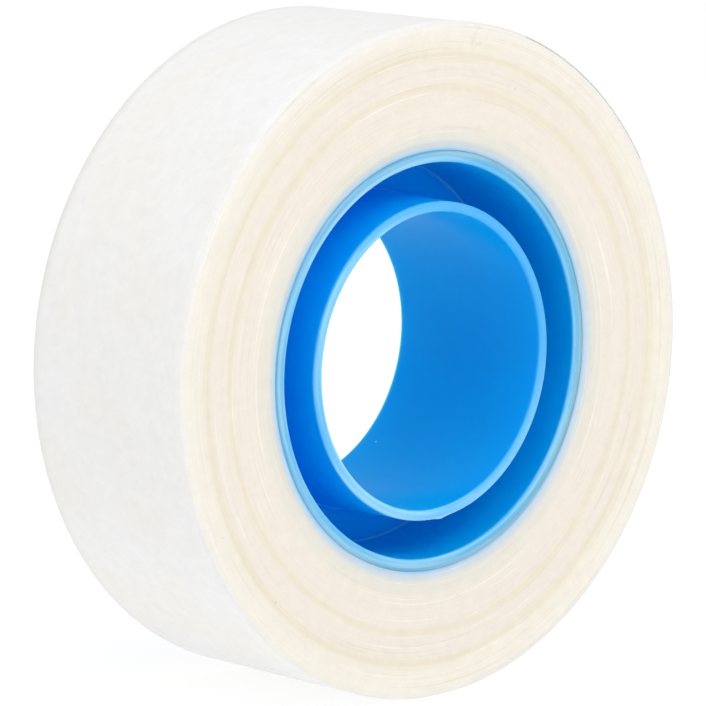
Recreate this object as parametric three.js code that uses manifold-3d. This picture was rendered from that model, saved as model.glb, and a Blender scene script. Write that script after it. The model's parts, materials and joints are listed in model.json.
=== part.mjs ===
// A roll of adhesive film tape on a moulded plastic core.
// The roll stands on its rim: its axis lies along Y, +Z is up, and the origin is the centre of the bore.
// The front of the roll faces -Y. Lengths are in millimetres, and angles are in degrees from +X towards +Z.
import * as THREE from "three";
import { mergeVertices } from "three/addons/utils/BufferGeometryUtils.js";
import Module from "manifold-3d";

// The tape, as it is sold and as it is wound.
const TAPE_WIDTH = 19;
const ROLL_DIAMETER = 57;
const FILM_THICKNESS = 0.058;

// The inner laps sit a little behind the outer ones, so the front face is dished and the back one stands out.
const LAP_SHIFT = 0.45;
const LIP = [26.9, 27.9]; // the radii that the shift starts and ends at

// The core is one moulding: a drum that the tape is wound on, and a hub that a flat web joins to it.
const CORE_WIDTH = 17.4;
const DRUM_DIAMETER = 35.5;
const DRUM_WALL = 1.0;
const HUB_DIAMETER = 26.9;
const HUB_BORE = 25.2;
const WEB_THICKNESS = 1.0;
const FRONT_CHANNEL_DEPTH = 9.0; // from the front rims to the web
const MOULD_DRAFT = 0.15; // how much each wall thickens from its rim to the web
const RIM_BREAK = 0.18; // the blunted edges of the rims
const WEB_FILLET = 0.35;

// The free end of the tape: plates that hinge one on the next, so that the end peels up.
const END_PLATES = 5;
const FACETS_PER_PLATE = 2;
const PEEL_LINE = 69.375; // the angle where the free end meets the tape that stays wound
const FIT_GAP = 0.02; // between one plate and the next, and between the plates and the tape below

const ROUND_STEPS = 96;
const STEP = 360 / ROUND_STEPS;
const ROLL_RADIUS = ROLL_DIAMETER / 2;
const DRUM_RADIUS = DRUM_DIAMETER / 2;
const PLATE_SPAN = FACETS_PER_PLATE * STEP;
const TIP = PEEL_LINE - END_PLATES * PLATE_SPAN; // the angle of the cut end
const CLEAR = 2; // how far a cut runs on past the solid that it cuts

const blue_plastic = new THREE.MeshStandardMaterial({ color: 0x0a7fd6, roughness: 0.35, metalness: 0 });
const white_film = new THREE.MeshStandardMaterial({ color: 0xf3eee4, roughness: 0.6, metalness: 0 });

const wasm = await Module();
wasm.setup();

const roll = new THREE.Group();

function addMesh(name, geometry, material) {
  const mesh = new THREE.Mesh(geometry, material);
  mesh.name = name;
  roll.add(mesh);
}

// A closed geometry as a solid that can be cut.
function toSolid(geometry) {
  const bare = geometry.clone();
  bare.deleteAttribute("normal");
  bare.deleteAttribute("uv");
  const merged = mergeVertices(bare);
  const vertProperties = new Float32Array(merged.attributes.position.array);
  const triVerts = new Uint32Array(merged.index.array);
  return new wasm.Manifold(new wasm.Mesh({ numProp: 3, vertProperties, triVerts }));
}

function toGeometry(solid) {
  const mesh = solid.getMesh();
  const geometry = new THREE.BufferGeometry();
  geometry.setAttribute("position", new THREE.BufferAttribute(mesh.vertProperties, 3));
  geometry.setIndex(new THREE.BufferAttribute(mesh.triVerts, 1));
  geometry.computeVertexNormals();
  return geometry;
}

// A closed section of points [radius, y], listed anticlockwise, turned about Y.
function turned(section) {
  const points = [...section, section[0]].map(([radius, y]) => new THREE.Vector2(radius, y));
  return new THREE.LatheGeometry(points, ROUND_STEPS);
}

// One side of the core, from the outside of the drum to the bore, over both rims and along the web.
function coreSide(side, web_face) {
  const rim_face = (side * CORE_WIDTH) / 2;
  const rim = (outer, inner) => [
    [outer, rim_face - side * RIM_BREAK],
    [outer - RIM_BREAK, rim_face],
    [inner + RIM_BREAK, rim_face],
    [inner, rim_face - side * RIM_BREAK],
  ];
  const drum_inside = DRUM_RADIUS - DRUM_WALL - MOULD_DRAFT;
  const hub_outside = HUB_DIAMETER / 2 + MOULD_DRAFT;
  return [
    ...rim(DRUM_RADIUS, DRUM_RADIUS - DRUM_WALL),
    [drum_inside, web_face + side * WEB_FILLET],
    [drum_inside - WEB_FILLET, web_face],
    [hub_outside + WEB_FILLET, web_face],
    [hub_outside, web_face + side * WEB_FILLET],
    ...rim(HUB_DIAMETER / 2, HUB_BORE / 2),
  ];
}

function addCore() {
  const web_front = FRONT_CHANNEL_DEPTH - CORE_WIDTH / 2;
  const front = coreSide(-1, web_front).reverse();
  addMesh("core", turned([...front, ...coreSide(1, web_front + WEB_THICKNESS)]), blue_plastic);
}

// Points on an arc across the roll's axis. Its radius may change evenly along it, as a spiral's does.
function arc(from, to, radius, end_radius = radius) {
  const steps = Math.max(1, Math.round(Math.abs(to - from) / STEP));
  const points = [];
  for (let i = 0; i <= steps; i++) {
    const turn = THREE.MathUtils.degToRad(from + ((to - from) * i) / steps);
    const r = radius + ((end_radius - radius) * i) / steps;
    points.push(new THREE.Vector2(r * Math.cos(turn), r * Math.sin(turn)));
  }
  return points;
}

// An outline across the roll's axis, drawn out along it from one y to another.
function drawnOut(outline, from, to) {
  const geometry = new THREE.ExtrudeGeometry(new THREE.Shape(outline), { depth: to - from, bevelEnabled: false });
  return geometry.rotateX(Math.PI / 2).translate(0, to, 0);
}

// All the laps that stay wound. The outer lap falls by one film from the peel line round to the seat
// that the free end lies in.
function addWoundTape() {
  const front = -TAPE_WIDTH / 2;
  const back = TAPE_WIDTH / 2;
  const seat = ROLL_RADIUS - FILM_THICKNESS - FIT_GAP;
  const outline = [...arc(TIP, PEEL_LINE, seat), ...arc(PEEL_LINE, TIP + 360 - STEP, ROLL_RADIUS, seat)];
  const blank = toSolid(drawnOut(outline, front, back + LAP_SHIFT));

  const inner = DRUM_RADIUS + FIT_GAP;
  const slope = (LIP[1] - LIP[0]) / LAP_SHIFT;
  const hollow = turned([
    [0, front - CLEAR],
    [LIP[1] + slope * CLEAR, front - CLEAR],
    [LIP[0], front + LAP_SHIFT],
    [inner, front + LAP_SHIFT],
    [inner, back + CLEAR],
    [0, back + CLEAR],
  ]);
  const rear_step = turned([
    [LIP[1], back],
    [ROLL_RADIUS + CLEAR, back],
    [ROLL_RADIUS + CLEAR, back + CLEAR],
    [LIP[1] - slope * CLEAR, back + CLEAR],
  ]);
  addMesh("wound_tape", toGeometry(blank.subtract(toSolid(hollow)).subtract(toSolid(rear_step))), white_film);
}

function addFreeEnd() {
  const slit = THREE.MathUtils.radToDeg(FIT_GAP / 2 / ROLL_RADIUS);
  for (let i = 0; i < END_PLATES; i++) {
    const root = PEEL_LINE - i * PLATE_SPAN - slit;
    const end = PEEL_LINE - (i + 1) * PLATE_SPAN + slit;
    const outline = [...arc(end, root, ROLL_RADIUS), ...arc(root, end, ROLL_RADIUS - FILM_THICKNESS)];
    addMesh(`tape_end_${i + 1}`, drawnOut(outline, -TAPE_WIDTH / 2, TAPE_WIDTH / 2), white_film);
  }
}

addCore();
addWoundTape();
addFreeEnd();

export default roll;
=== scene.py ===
import json
import math

import bpy
import numpy as np
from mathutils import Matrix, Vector, noise


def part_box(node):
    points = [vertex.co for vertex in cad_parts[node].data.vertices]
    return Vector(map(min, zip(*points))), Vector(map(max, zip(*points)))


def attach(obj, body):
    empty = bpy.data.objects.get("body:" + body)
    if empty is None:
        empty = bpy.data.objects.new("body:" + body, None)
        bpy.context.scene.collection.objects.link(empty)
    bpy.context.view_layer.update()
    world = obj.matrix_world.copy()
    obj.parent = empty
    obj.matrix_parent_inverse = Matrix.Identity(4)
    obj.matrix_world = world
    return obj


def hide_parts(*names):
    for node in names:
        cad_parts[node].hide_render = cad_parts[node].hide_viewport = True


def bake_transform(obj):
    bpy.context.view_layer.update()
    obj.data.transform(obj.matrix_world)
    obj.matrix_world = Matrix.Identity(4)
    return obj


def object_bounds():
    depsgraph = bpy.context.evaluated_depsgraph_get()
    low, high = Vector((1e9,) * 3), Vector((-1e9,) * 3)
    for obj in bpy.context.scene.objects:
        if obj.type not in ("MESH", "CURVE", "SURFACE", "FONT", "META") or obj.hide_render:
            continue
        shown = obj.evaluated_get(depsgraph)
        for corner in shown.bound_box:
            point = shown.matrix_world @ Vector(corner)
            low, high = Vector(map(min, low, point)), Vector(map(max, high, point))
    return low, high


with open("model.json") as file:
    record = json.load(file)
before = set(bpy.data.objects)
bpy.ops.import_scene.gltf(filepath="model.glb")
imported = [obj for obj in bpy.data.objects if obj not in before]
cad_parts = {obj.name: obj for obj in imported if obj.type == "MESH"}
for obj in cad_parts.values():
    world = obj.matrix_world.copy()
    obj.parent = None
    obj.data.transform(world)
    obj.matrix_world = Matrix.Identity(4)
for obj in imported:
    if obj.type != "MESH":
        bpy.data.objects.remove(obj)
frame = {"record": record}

# A roll of matte film tape on a blue moulded core. Its axis is Y, and its front faces -Y.
# Lengths are in metres. Angles are in degrees from +X towards +Z.

MM = 0.001
cad_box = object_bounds()

# ---------------------------------------------------------------- sizes, from the frame

tape_low, tape_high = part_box("wound_tape")
core_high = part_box("core")[1]
HALF_TAPE = -tape_low[1]
LAP_SHIFT = tape_high[1] - HALF_TAPE # the inner laps sit this far behind the outer ones
HALF_CORE = core_high[1]
DRUM_RADIUS = core_high[0]

hinges = frame["record"]["behaviour"]["joints"]
hinge_points = [Vector(joint["pos_m"]) for joint in hinges]
hinge_angles = [math.degrees(math.atan2(point.z, point.x)) for point in hinge_points]
ROLL_RADIUS = hinge_points[0].length
PEEL_LINE = hinge_angles[0]
PLATE_SPAN = hinge_angles[0] - hinge_angles[1]
TIP = PEEL_LINE - PLATE_SPAN * len(hinges)

# Sizes of the core and the film that no box gives.
FILM = 0.058 * MM
DRUM_WALL = 1.0 * MM
HUB_RADIUS = 13.45 * MM
BORE_RADIUS = 12.6 * MM
WEB_FRONT = 0.3 * MM
WEB_BACK = 1.3 * MM
MOULD_DRAFT = 0.15 * MM
RIM_ROUND = 0.22 * MM
DRUM_EDGE_ROUND = 0.08 * MM
WEB_FILLET = 0.45 * MM


# ---------------------------------------------------------------- mesh helpers

SMOOTH_BELOW = math.radians(60)


def smooth_step(value):
    """Goes smoothly from 0 to 1 as the value does, and stays there beyond."""
    value = min(1, max(0, value))
    return value * value * (3 - 2 * value)


def add_object(name, mesh, material):
    """An object in the scene with that mesh and material, smooth up to its sharp edges."""
    mesh.shade_smooth()
    mesh.set_sharp_from_angle(angle=SMOOTH_BELOW)
    mesh.materials.append(material)
    piece = bpy.data.objects.new(name, mesh)
    bpy.context.scene.collection.objects.link(piece)
    return piece


def grid_mesh(name, points, wrap_columns=True):
    """A closed mesh of quads over an array of points, rows by columns.

    The last row joins the first one. The last column does too, or else each end gets a flat cap.
    """
    rows, columns = points.shape[:2]
    row = np.arange(rows)
    column = np.arange(columns if wrap_columns else columns - 1)
    i, j = np.meshgrid(row, column, indexing="ij")
    below, right = (i + 1) % rows, (j + 1) % columns
    corners = [i * columns + j, below * columns + j, below * columns + right, i * columns + right]
    faces = np.stack(corners, -1).reshape(-1, 4).tolist()
    if not wrap_columns:
        first_column = [k * columns for k in range(rows)]
        faces.append(first_column[::-1])
        faces.append([k + columns - 1 for k in first_column])
    mesh = bpy.data.meshes.new(name)
    mesh.from_pydata(points.reshape(-1, 3).tolist(), [], faces)
    return mesh


def rounded(corners, arc_steps=6):
    """A closed outline through corners (x, y, radius), with a round of that radius at each."""
    outline = []
    count = len(corners)
    for k, (x, y, radius) in enumerate(corners):
        here = Vector((x, y))
        back = (Vector(corners[k - 1][:2]) - here).normalized()
        ahead = (Vector(corners[(k + 1) % count][:2]) - here).normalized()
        half_angle = back.angle(ahead) / 2
        centre = here + (back + ahead).normalized() * (radius / math.sin(half_angle))
        first = here + back * (radius / math.tan(half_angle)) - centre
        last = here + ahead * (radius / math.tan(half_angle)) - centre
        turn = first.angle_signed(last)
        for step in range(arc_steps + 1):
            angle = -turn * step / arc_steps
            spoke = Vector((first.x * math.cos(angle) - first.y * math.sin(angle),
                            first.x * math.sin(angle) + first.y * math.cos(angle)))
            outline.append(centre + spoke)
    return outline


def filled_in(outline, spacing):
    """The same closed outline, with points added so that none are further apart than spacing."""
    result = []
    for k, here in enumerate(outline):
        ahead = outline[(k + 1) % len(outline)]
        pieces = max(1, math.ceil((ahead - here).length / spacing))
        result += [here.lerp(ahead, step / pieces) for step in range(pieces)]
    return result


def turned(radius, y, degrees):
    """Points at a radius and a y, turned about Y by an angle. All three may be arrays."""
    angle = np.radians(degrees)
    return np.stack(np.broadcast_arrays(radius * np.cos(angle), y, radius * np.sin(angle)), -1)


# ---------------------------------------------------------------- shader helpers

class Nodes:
    """Adds shader nodes to the tree of a new material, or of a world."""

    def __init__(self, owner):
        owner.use_nodes = True
        self.owner = owner
        self.tree = owner.node_tree
        self.shader = self.tree.nodes.get("Principled BSDF") or self.tree.nodes["Background"]

    def put(self, value, socket):
        if isinstance(value, bpy.types.NodeSocket):
            self.tree.links.new(value, socket)
        else:
            socket.default_value = value

    def add(self, kind, inputs=None, output=0, **settings):
        node = self.tree.nodes.new("ShaderNode" + kind)
        for key, value in settings.items():
            setattr(node, key, value)
        for key, value in (inputs or {}).items():
            self.put(value, node.inputs[key])
        return node.outputs[output]

    def math(self, operation, a, b=0.0):
        return self.add("Math", {0: a, 1: b}, operation=operation)

    def times(self, a, b):
        return self.math("MULTIPLY", a, b)

    def away_from(self, value, centre):
        return self.math("ABSOLUTE", self.math("SUBTRACT", value, centre))

    def between(self, value, low, high):
        """Goes smoothly from 0 at low to 1 at high. The value at high may be the lesser one."""
        inputs = {"Value": value, "From Min": low, "From Max": high}
        return self.add("MapRange", inputs, interpolation_type="SMOOTHSTEP")

    def spread(self, value, low, high, from_low=0.0, from_high=1.0):
        """Goes evenly from low at from_low to high at from_high."""
        inputs = {"Value": value, "From Min": from_low, "From Max": from_high, "To Min": low, "To Max": high}
        return self.add("MapRange", inputs)

    def vector(self, operation, a, b, output="Vector"):
        return self.add("VectorMath", {0: a, 1: b}, output=output, operation=operation)

    def mix(self, factor, a, b):
        node = self.tree.nodes.new("ShaderNodeMix")
        node.data_type = "RGBA"
        self.put(factor, node.inputs[0])
        self.put(a, node.inputs[6])
        self.put(b, node.inputs[7])
        return node.outputs[2]

    def noise(self, vector, scale, detail, roughness=0.5, output=0):
        inputs = {"Vector": vector, "Scale": scale, "Detail": detail, "Roughness": roughness}
        return self.add("TexNoise", inputs, output)

    def specks(self, vector, scale, size, share):
        """1 on small round spots, in that share of the cells of a random honeycomb, and 0 elsewhere."""
        inputs = {"Vector": vector, "Scale": scale}
        near = self.between(self.add("TexVoronoi", inputs, output="Distance"), size, size * 0.6)
        cell = self.add("SeparateXYZ", {0: self.add("TexVoronoi", inputs, output="Color")})
        return self.times(near, self.math("LESS_THAN", cell, share))

    def ramp(self, factor, stops):
        node = self.tree.nodes.new("ShaderNodeValToRGB")
        node.color_ramp.interpolation = "EASE"
        elements = node.color_ramp.elements
        while len(elements) < len(stops):
            elements.new(0.5)
        for element, (place, colour) in zip(elements, stops):
            element.position = place
            element.color = colour
        self.put(factor, node.inputs[0])
        return node.outputs[0]

    def bump(self, height, distance, strength, normal=None):
        inputs = {"Height": height, "Distance": distance, "Strength": strength}
        if normal is not None:
            inputs["Normal"] = normal
        return self.add("Bump", inputs)

    def set(self, **inputs):
        for key, value in inputs.items():
            self.put(value, self.shader.inputs[key.replace("_", " ")])


class RollNodes(Nodes):
    """Nodes of a material on the roll, with the place on the roll in its own coordinates."""

    def __init__(self, name):
        super().__init__(bpy.data.materials.new(name))
        self.place = self.add("TexCoord", output="Object")
        self.x, self.y, self.z = (self.add("SeparateXYZ", {0: self.place}, output=k) for k in range(3))
        squares = self.math("ADD", self.times(self.x, self.x), self.times(self.z, self.z))
        self.radius = self.math("SQRT", squares)

    def ring_noise(self, ring_size, round_size, detail, roughness=0.5):
        """Noise that changes over ring_size across the rings, and over round_size radians along them."""
        across = self.math("DIVIDE", self.radius, ring_size)
        along_x = self.math("DIVIDE", self.math("DIVIDE", self.x, self.radius), round_size)
        along_z = self.math("DIVIDE", self.math("DIVIDE", self.z, self.radius), round_size)
        vector = self.add("CombineXYZ", {0: across, 1: along_x, 2: along_z})
        return self.noise(vector, 1.0, detail, roughness)


def srgb(red, green, blue):
    """A colour given in 0 to 255 display values, as linear light."""
    def linear(value):
        value /= 255
        return value / 12.92 if value <= 0.04045 else ((value + 0.055) / 1.055) ** 2.4
    return (linear(red), linear(green), linear(blue), 1.0)


# ---------------------------------------------------------------- the blue plastic

BLUE = srgb(0, 166, 232)
BLUE_CLOUD = srgb(0, 158, 226)
# Painted highlights on the thin rims of the core, pale and streaky.
RIM_HIGHLIGHT = srgb(152, 202, 250)
RIM_HIGHLIGHT_STREAK = srgb(106, 180, 240)
# Painted shade on the hub's rim at its upper right.
RIM_SHADE_UPPER_RIGHT = srgb(84, 168, 230)
RIM_CREST = srgb(104, 180, 238)
# Painted highlight along the line where the web meets the walls.
WEB_HIGHLIGHT = srgb(120, 196, 244)
BLUE_DUST = srgb(150, 210, 245)
BLUE_GLOW = srgb(0, 150, 240)
RIM_HIGHLIGHT_BAND = (0.4 * MM, 0.06 * MM) # depths where the painted rim highlight starts to show, and where it is all there
GLOW_DEPTH = (0.1 * MM, 1.5 * MM)
GLOW_STRENGTH = 0.07
CREST_STRENGTH = 0.4
CREST_WIDTH = (0.22 * MM, 0.06 * MM)
WEB_LINE_STRENGTH = 0.6
WEB_LINE_WIDTH = (0.14 * MM, 0.02 * MM)
WEB_LINE_RAISED = 0.2 * MM
DUST_STRENGTH = 0.6
BLUE_ROUGHNESS = (0.24, 0.36)


def rim_highlight_colour(nodes):
    """Painted highlights on the rims, pale and streaky, with a bluer line along the crest of the hub's rim
    between its two highlights, and painted shade making it bluer at its upper right.
    """
    streaks = nodes.ring_noise(0.4 * MM, 0.9, detail=2.0)
    rim = nodes.mix(nodes.between(streaks, 0.35, 0.65), RIM_HIGHLIGHT_STREAK, RIM_HIGHLIGHT)
    to_upper_right = nodes.math("DIVIDE", nodes.math("ADD", nodes.x, nodes.z), nodes.radius)
    on_hub = nodes.between(nodes.radius, HUB_RADIUS + MM, HUB_RADIUS + 0.5 * MM)
    upper_right = nodes.times(nodes.between(to_upper_right, 0.2, 1.3), on_hub)
    # Painted shade: the hub's rim is darker and bluer at its upper right, where less light falls.
    rim = nodes.mix(upper_right, rim, RIM_SHADE_UPPER_RIGHT)
    # A bluer line along the crest of the hub's rim, between its two painted highlights.
    from_crest = nodes.away_from(nodes.radius, (BORE_RADIUS + HUB_RADIUS) / 2)
    crest = nodes.between(from_crest, *CREST_WIDTH)
    return nodes.mix(nodes.times(crest, CREST_STRENGTH), rim, RIM_CREST)


def web_highlight_line(nodes):
    """1 on the thin line where the front of the web meets the walls, where a highlight is painted, and 0
    elsewhere.
    """
    from_line = nodes.away_from(nodes.y, WEB_FRONT - WEB_LINE_RAISED)
    off_bore = nodes.between(nodes.radius, BORE_RADIUS + 0.3 * MM, HUB_RADIUS)
    return nodes.times(nodes.between(from_line, *WEB_LINE_WIDTH), off_bore)


def blue_plastic():
    """Translucent polypropylene: smooth, with pale highlights and the light that comes out of its thin rims
    painted onto them.

    The faint emission between the two walls stands for the light that the plastic carries in there.
    """
    nodes = RollNodes("blue_plastic")
    depth = nodes.math("SUBTRACT", HALF_CORE, nodes.math("ABSOLUTE", nodes.y))
    body = nodes.mix(nodes.noise(nodes.place, 180.0, detail=2.0), BLUE_CLOUD, BLUE)
    # Painted highlights and painted light coming out of the thin rims, near each face of the core.
    colour = nodes.mix(nodes.between(depth, *RIM_HIGHLIGHT_BAND), body, rim_highlight_colour(nodes))
    # Painted highlight where the web meets the walls.
    colour = nodes.mix(nodes.times(web_highlight_line(nodes), WEB_LINE_STRENGTH), colour, WEB_HIGHLIGHT)
    dust = nodes.specks(nodes.place, scale=260.0, size=0.035, share=0.12)
    colour = nodes.mix(nodes.times(dust, DUST_STRENGTH), colour, BLUE_DUST)

    grain = nodes.noise(nodes.place, 9000.0, detail=3.0)
    ripple = nodes.noise(nodes.place, 500.0, detail=2.0)
    normal = nodes.bump(ripple, 0.03 * MM, 0.5, nodes.bump(grain, 0.003 * MM, 0.6))
    off_bore = nodes.between(nodes.radius, HUB_RADIUS - 0.3 * MM, HUB_RADIUS)
    between_walls = nodes.times(off_bore, nodes.between(depth, *GLOW_DEPTH))
    nodes.set(Base_Color=colour, Roughness=nodes.spread(grain, *BLUE_ROUGHNESS), Normal=normal,
              IOR=1.49, Specular_IOR_Level=0.04,
              Subsurface_Weight=1.0, Subsurface_Scale=2.5 * MM, Subsurface_Radius=(0.3, 0.7, 1.0),
              Emission_Color=BLUE_GLOW, Emission_Strength=nodes.times(between_walls, GLOW_STRENGTH))
    return nodes.owner


# ---------------------------------------------------------------- the film

CREAM = srgb(231, 223, 211)
YELLOW_RING = srgb(228, 219, 199)
PALE_CREAM = srgb(234, 229, 217)
# Colours of the side face from the core at 0 to the outside at 1. The bluish stops near 0 are painted blue
# light from the core.
SIDE_COLOURS = [
    (0.0, srgb(140, 196, 240)), (0.035, srgb(196, 210, 218)), (0.1, srgb(222, 219, 209)),
    (0.25, CREAM), (0.42, CREAM), (0.48, YELLOW_RING), (0.54, CREAM), (0.68, CREAM), (0.73, YELLOW_RING),
    (0.79, srgb(233, 227, 214)), (0.93, PALE_CREAM), (1.0, srgb(230, 229, 226)),
]
DARK_THREAD = srgb(218, 208, 184)
LIGHT_THREAD = srgb(250, 246, 240)
RUB_MARK = srgb(196, 186, 168)
SIDE_SPECK = srgb(170, 160, 150)
OUTSIDE = srgb(236, 236, 236)
OUTSIDE_CLOUD = srgb(235, 234, 231)
THREAD_STRENGTH = 0.5
LIGHT_THREAD_STRENGTH = 0.4
RUB_STRENGTH = 0.35
SPECK_STRENGTH = 0.5
FILM_ROUGHNESS = 0.62
FILM_GLOW = 0.12 # how much of the light passes into the side faces
FILM_SHADES = (0.97, 1.025)
RUB_ANGLE = 81.0
RUB_RADIUS = 27.2 * MM


def rub_mark(nodes):
    """1 along a few short crooked lines at one spot near the outside of the side face, and 0 elsewhere."""
    spot = tuple(turned(RUB_RADIUS, -HALF_TAPE, RUB_ANGLE))
    from_spot = nodes.vector("DISTANCE", nodes.place, spot, output="Value")
    crook = nodes.noise(nodes.place, 1500.0, detail=2.0, output="Color")
    crooked = nodes.vector("ADD", nodes.place, nodes.vector("MULTIPLY", crook, (MM, MM, MM)))
    cracks = nodes.add("TexVoronoi", {"Vector": crooked, "Scale": 900.0}, feature="DISTANCE_TO_EDGE")
    return nodes.times(nodes.between(cracks, 0.06, 0.0), nodes.between(from_spot, 1.4 * MM, 0.5 * MM))


def side_colour(nodes):
    """Cream, with yellower rings, thin thread-like rings, and a bluish white next to the core, which is
    painted light from the blue core.
    """
    bands = nodes.ring_noise(2.4 * MM, 1.2, detail=2.0)
    off_core = nodes.between(nodes.radius, DRUM_RADIUS + 0.3 * MM, DRUM_RADIUS + 2 * MM)
    wander = nodes.times(nodes.math("SUBTRACT", bands, 0.5), nodes.times(off_core, MM))
    build_up = nodes.spread(nodes.math("ADD", nodes.radius, wander), 0.0, 1.0, DRUM_RADIUS, ROLL_RADIUS)
    # The ramp starts with painted blue light from the core.
    colour = nodes.ramp(build_up, SIDE_COLOURS)

    threads = nodes.ring_noise(0.2 * MM, 0.7, detail=3.0, roughness=0.65)
    colour = nodes.mix(nodes.times(nodes.between(threads, 0.54, 0.7), THREAD_STRENGTH), colour, DARK_THREAD)
    light = nodes.times(nodes.between(threads, 0.4, 0.3), LIGHT_THREAD_STRENGTH)
    colour = nodes.mix(light, colour, LIGHT_THREAD)
    colour = nodes.mix(nodes.times(rub_mark(nodes), RUB_STRENGTH), colour, RUB_MARK)
    specks = nodes.specks(nodes.place, scale=330.0, size=0.035, share=0.1)
    return nodes.mix(nodes.times(specks, SPECK_STRENGTH), colour, SIDE_SPECK)


def on_side_face(nodes):
    """1 on the side faces of the tape and on its inner edge at the rim of the core, and 0 elsewhere. The
    inner edge so takes the painted blue light from the core.
    """
    facing = nodes.add("NewGeometry", output="Normal")
    along = nodes.math("ABSOLUTE", nodes.add("SeparateXYZ", {0: facing}, output=1))
    # The tape's inner edge by the rim of the core takes the side colours and their painted blue light from
    # the core.
    by_drum = nodes.between(nodes.radius, DRUM_RADIUS + 0.2 * MM, DRUM_RADIUS + 0.05 * MM)
    from_middle = nodes.math("ABSOLUTE", nodes.y)
    at_rim = nodes.between(from_middle, HALF_CORE + 0.6 * MM, HALF_CORE + 0.1 * MM)
    return nodes.math("MAXIMUM", nodes.between(along, 0.3, 0.8), nodes.times(by_drum, at_rim))


def film():
    """Matte film: near-white outside, and cream with faint rings where the edges of the laps show."""
    nodes = RollNodes("white_film")
    on_side = on_side_face(nodes)
    clouds = nodes.between(nodes.noise(nodes.place, 120.0, detail=3.0), 0.35, 0.65)
    colour = nodes.mix(on_side, nodes.mix(clouds, OUTSIDE_CLOUD, OUTSIDE), side_colour(nodes))

    grain = nodes.noise(nodes.place, 4500.0, detail=4.0, roughness=0.6)
    mottle = nodes.noise(nodes.place, 900.0, detail=3.0, roughness=0.6)
    speckle = nodes.math("ADD", nodes.times(mottle, 0.6), nodes.times(grain, 0.4))
    shade = nodes.spread(speckle, *FILM_SHADES, 0.35, 0.65)
    colour = nodes.vector("MULTIPLY", colour, nodes.add("CombineXYZ", {0: shade, 1: shade, 2: shade}))

    rings = nodes.ring_noise(0.5 * MM, 2.0, detail=4.0, roughness=0.65)
    normal = nodes.bump(nodes.times(rings, on_side), 0.04 * MM, 0.6, nodes.bump(speckle, 0.02 * MM, 0.6))
    nodes.set(Base_Color=colour, Normal=normal, Roughness=FILM_ROUGHNESS, IOR=1.4,
              Subsurface_Weight=nodes.times(on_side, FILM_GLOW), Subsurface_Scale=0.4 * MM,
              Subsurface_Radius=(1.0, 0.9, 0.75))
    return nodes.owner


# ---------------------------------------------------------------- the core

CORE_STEPS = 288
CORE_SPACING = 0.7 * MM
NUB_ANGLE = 274.0 # where the gate of the mould left a nub outside the front rim of the hub
NUB_SPAN = 2.2
NUB_HEIGHT = 0.12 * MM
NUB_DEPTH = 1.2 * MM


def wall_corners(y, web):
    """Corners of both walls on one side of the web, from the bore out to the drum."""
    drum_inside = DRUM_RADIUS - DRUM_WALL
    return [(BORE_RADIUS, y, RIM_ROUND), (HUB_RADIUS, y, RIM_ROUND),
            (HUB_RADIUS + MOULD_DRAFT, web, WEB_FILLET), (drum_inside - MOULD_DRAFT, web, WEB_FILLET),
            (drum_inside, y, RIM_ROUND), (DRUM_RADIUS, y, DRUM_EDGE_ROUND)]


def nub_height(point, angles):
    """How far the nub pushes a point of the outline outwards at each angle."""
    on_wall = BORE_RADIUS + RIM_ROUND < point.x < HUB_RADIUS + MOULD_DRAFT
    near_rim = smooth_step((NUB_DEPTH - HALF_CORE - point.y) / MM)
    return on_wall * near_rim * NUB_HEIGHT * np.exp(-((angles - NUB_ANGLE) / NUB_SPAN) ** 2)


def make_core(material):
    front = wall_corners(-HALF_CORE, WEB_FRONT)
    back = wall_corners(HALF_CORE, WEB_BACK)
    outline = filled_in(rounded(front + back[::-1]), CORE_SPACING)
    angles = np.arange(CORE_STEPS) * 360 / CORE_STEPS
    rows = [turned(point.x + nub_height(point, angles), point.y, angles) for point in outline]
    piece = add_object("core_moulding", grid_mesh("core_moulding", np.array(rows)), material)
    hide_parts("core")
    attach(piece, "roll")


# ---------------------------------------------------------------- the wound tape

SIDE_ROWS = 84
OUTSIDE_ROWS = 21
INSIDE_ROWS = 9
WOUND_STEPS = 384
CORE_GAP = 0.005 * MM
SEAT_GAP = 0.012 * MM
EDGE_BREAK = 0.06 * MM
SHOULDER = 0.18 * MM
SHOULDER_WIDTH = 0.8 * MM
CORE_DIP = 0.26 * MM # at the front, the first laps settle almost flush with the rim of the core
CORE_DIP_WIDTH = 1.0 * MM
LIP_WIDTH = 0.5 * MM
LIP_SLOPE_WIDTH = 2.5 * MM
BROAD_WAVE = 0.035 * MM # half the height of the broad bands, which change over 1 / BROAD_BANDS mm
BROAD_BANDS = 0.55
NARROW_WAVE = 0.022 * MM
NARROW_BANDS = 2.3
NARROW_BANDS_START = 40 # keeps the narrow bands apart from the broad ones in the noise
PEEL_GAP = (0.001, 0.02) # degrees kept free after and before the peel line


def lap_shift(radius):
    """How far back the laps sit: not at all at the lip of the roll, and more towards the core."""
    inwards = ROLL_RADIUS - radius
    lean = 0.8 + 0.4 * inwards / (ROLL_RADIUS - DRUM_RADIUS)
    return smooth_step((inwards - LIP_WIDTH) / LIP_SLOPE_WIDTH) * lean * LAP_SHIFT


def core_dip(radius):
    """How much further back the first laps on the core sit, at the front."""
    return CORE_DIP * smooth_step(1 - (radius - DRUM_RADIUS) / CORE_DIP_WIDTH)


def inset(radius, angle):
    """How far the edges of the laps stay in from a side: bands that fade round the roll, and a shoulder."""
    turn = math.radians(angle)
    across, x, z = radius / MM, math.cos(turn), math.sin(turn)
    broad = noise.noise(Vector((across * BROAD_BANDS, x * 0.8, z * 0.8)))
    narrow = noise.noise(Vector((across * NARROW_BANDS + NARROW_BANDS_START, x * 1.6, z * 1.6)))
    wave = BROAD_WAVE * (1 + broad) + NARROW_WAVE * (1 + narrow)
    return wave + SHOULDER * smooth_step(1 - (ROLL_RADIUS - radius) / SHOULDER_WIDTH)


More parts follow.
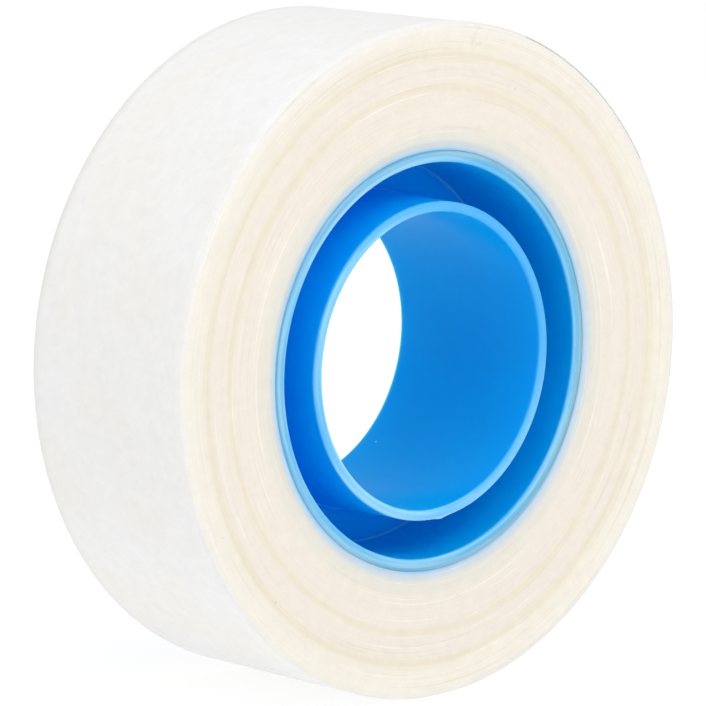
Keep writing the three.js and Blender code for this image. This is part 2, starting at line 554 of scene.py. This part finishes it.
def outer_radius(angle):
    """The outer lap falls by one film thickness from the peel line round to the seat of the free end."""
    gone_round = (angle - PEEL_LINE) % 360
    whole = 360 - (PEEL_LINE - TIP)
    if gone_round > whole:
        return ROLL_RADIUS - FILM - SEAT_GAP
    return ROLL_RADIUS - FILM * gone_round / whole


def wound_angles():
    """Even angles, with a pair close together at the peel line, where the outer lap steps up."""
    even = PEEL_LINE + np.arange(1, WOUND_STEPS) * 360 / WOUND_STEPS
    return np.concatenate([[PEEL_LINE + PEEL_GAP[0]], even, [PEEL_LINE + 360 - PEEL_GAP[1]]])


def wound_section(angle):
    """Points (radius, y) round the section of the wound tape at an angle, from the front of the core out."""
    inner, outer = DRUM_RADIUS + CORE_GAP, outer_radius(angle)
    radii = np.linspace(inner, outer - EDGE_BREAK, SIDE_ROWS)
    front = [(r, -HALF_TAPE + lap_shift(r) + core_dip(r) + inset(r, angle)) for r in radii]
    back = [(r, HALF_TAPE + min(lap_shift(r), LAP_SHIFT) - inset(r, angle)) for r in radii]
    across = np.linspace(front[-1][1] + EDGE_BREAK, back[-1][1] - EDGE_BREAK, OUTSIDE_ROWS)
    outside = [(outer, y) for y in across]
    inside = [(inner, y) for y in np.linspace(back[0][1], front[0][1], INSIDE_ROWS)[1:-1]]
    return front + outside + back[::-1] + inside


def make_wound_tape(material):
    angles = wound_angles()
    section = np.array([wound_section(angle) for angle in angles]).transpose(1, 0, 2)
    points = turned(section[..., 0], section[..., 1], angles)
    piece = add_object("wound_film_tape", grid_mesh("wound_film_tape", points), material)
    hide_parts("wound_tape")
    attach(piece, "roll")


# ---------------------------------------------------------------- the free end of the tape

STRIP_STEP = 0.3 # degrees between the rows of points along the free end
STRIP_ROWS = 25
STRIP_INSET = SHOULDER + 0.03 * MM # its edges end almost above those of the laps under it
BLEND_LEAD = 0.2 # degrees before the peel line at which hinge_reach starts the reach of the first hinge


def hinge_reach(k):
    """Where a bend across hinge k would start and end on the roll, as two points; the pieces are not bent
    here.
    """
    before = PEEL_LINE + BLEND_LEAD if k == 0 else PEEL_LINE - PLATE_SPAN * (k - 0.5)
    middle = PEEL_LINE - PLATE_SPAN * (k + 0.5)
    return [Vector(turned(ROLL_RADIUS, 0.0, angle)) for angle in (before, middle)]


def make_free_end(material):
    """One piece for each hinge, from the middle of one plate to the middle of the next."""
    middles = [PEEL_LINE - PLATE_SPAN * (k + 0.5) for k in range(len(hinges))]
    cuts = [PEEL_LINE] + middles[:-1] + [TIP]
    across = np.linspace(-HALF_TAPE + STRIP_INSET, HALF_TAPE - STRIP_INSET, STRIP_ROWS)
    radius = np.repeat([ROLL_RADIUS, ROLL_RADIUS - FILM], STRIP_ROWS)[:, None]
    y = np.concatenate([across, across[::-1]])[:, None]
    for k in range(len(hinges)):
        steps = round((cuts[k] - cuts[k + 1]) / STRIP_STEP)
        points = turned(radius, y, np.linspace(cuts[k + 1], cuts[k], steps + 1))
        name = f"free_end_{k + 1}"
        piece = add_object(name, grid_mesh(name, points, wrap_columns=False), material)
        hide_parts(f"tape_end_{k + 1}")
        start, end = hinge_reach(k)
        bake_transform(piece)


# ---------------------------------------------------------------- floor, light and camera

FLOOR_RADIUS = 2.2
FLOOR_BEND = 0.35
FLOOR_STEPS = 72
FLOOR_BEND_STEP = 10
FLOOR_GLOW = 0.6
WORLD_STRENGTH = 0.76
WORLD_LEAN = (-0.16, 0.0, 0.04) # darker towards both sides, and a little brighter above
WHITE = (1, 1, 1, 1)
GREY = (0.5, 0.5, 0.5, 1)


def make_floor():
    """A round white floor that curves up at its far edge, so that no horizon shows."""
    bend = np.radians(np.arange(0, 90 + FLOOR_BEND_STEP, FLOOR_BEND_STEP))
    around = np.radians(np.arange(FLOOR_STEPS) * 360 / FLOOR_STEPS)
    points = []
    for angle in bend:
        radius = FLOOR_RADIUS + FLOOR_BEND * math.sin(angle)
        height = cad_box[0][2] + FLOOR_BEND * (1 - math.cos(angle))
        points += [(radius * math.cos(turn), radius * math.sin(turn), height) for turn in around]
    faces = [list(range(FLOOR_STEPS))]
    for start in range(0, len(points) - FLOOR_STEPS, FLOOR_STEPS):
        for k in range(FLOOR_STEPS):
            here, ahead = start + k, start + (k + 1) % FLOOR_STEPS
            faces.append([here, here + FLOOR_STEPS, ahead + FLOOR_STEPS, ahead])
    mesh = bpy.data.meshes.new("floor")
    mesh.from_pydata(points, [], faces)
    nodes = Nodes(bpy.data.materials.new("floor"))
    nodes.set(Base_Color=GREY, Roughness=0.9, Specular_IOR_Level=0.0,
              Emission_Color=WHITE, Emission_Strength=FLOOR_GLOW)
    add_object("floor", mesh, nodes.owner)


def make_world():
    nodes = Nodes(bpy.data.worlds.new("white_room"))
    direction = nodes.add("TexCoord", output="Generated")
    sideways = nodes.add("VectorMath", {0: direction}, operation="ABSOLUTE")
    lean = nodes.vector("DOT_PRODUCT", sideways, WORLD_LEAN, output="Value")
    nodes.set(Color=WHITE, Strength=nodes.math("ADD", lean, WORLD_STRENGTH))
    bpy.context.scene.world = nodes.owner


def add_area_light(name, place, size, power):
    data = bpy.data.lights.new(name, "AREA")
    data.size = size
    data.energy = power
    light = bpy.data.objects.new(name, data)
    light.location = place
    light.rotation_euler = (-Vector(place)).to_track_quat("-Z", "Y").to_euler()
    bpy.context.scene.collection.objects.link(light)


CAMERA_AZIMUTH = -42.87
CAMERA_ELEVATION = 9.38
CAMERA_DISTANCE = 0.4096
CAMERA_LENS = 246.1
CAMERA_CLIP = 0.01
CAMERA_ASIDE = -0.846 * MM
CAMERA_BELOW = -0.313 * MM


def make_camera():
    turn, rise = math.radians(CAMERA_AZIMUTH), math.radians(CAMERA_ELEVATION)
    back = Vector((math.sin(turn) * math.cos(rise), -math.cos(turn) * math.cos(rise), math.sin(rise)))
    right = Vector((0, 0, 1)).cross(back).normalized()
    up = back.cross(right)
    data = bpy.data.cameras.new("camera")
    data.lens = CAMERA_LENS
    data.clip_start = CAMERA_CLIP
    camera = bpy.data.objects.new("camera", data)
    camera.location = back * CAMERA_DISTANCE + right * CAMERA_ASIDE + up * CAMERA_BELOW
    camera.rotation_euler = back.to_track_quat("Z", "Y").to_euler()
    bpy.context.scene.collection.objects.link(camera)
    bpy.context.scene.camera = camera


make_core(blue_plastic())
white_film = film()
make_wound_tape(white_film)
make_free_end(white_film)
make_floor()
make_world()
add_area_light("overhead", place=(-0.24, -0.05, 0.56), size=0.5, power=0.85)
add_area_light("front", place=(-0.05, -0.46, 0.44), size=0.35, power=1.1)
make_camera()
bpy.context.scene.view_settings.view_transform = "Standard"

bpy.context.view_layer.update()
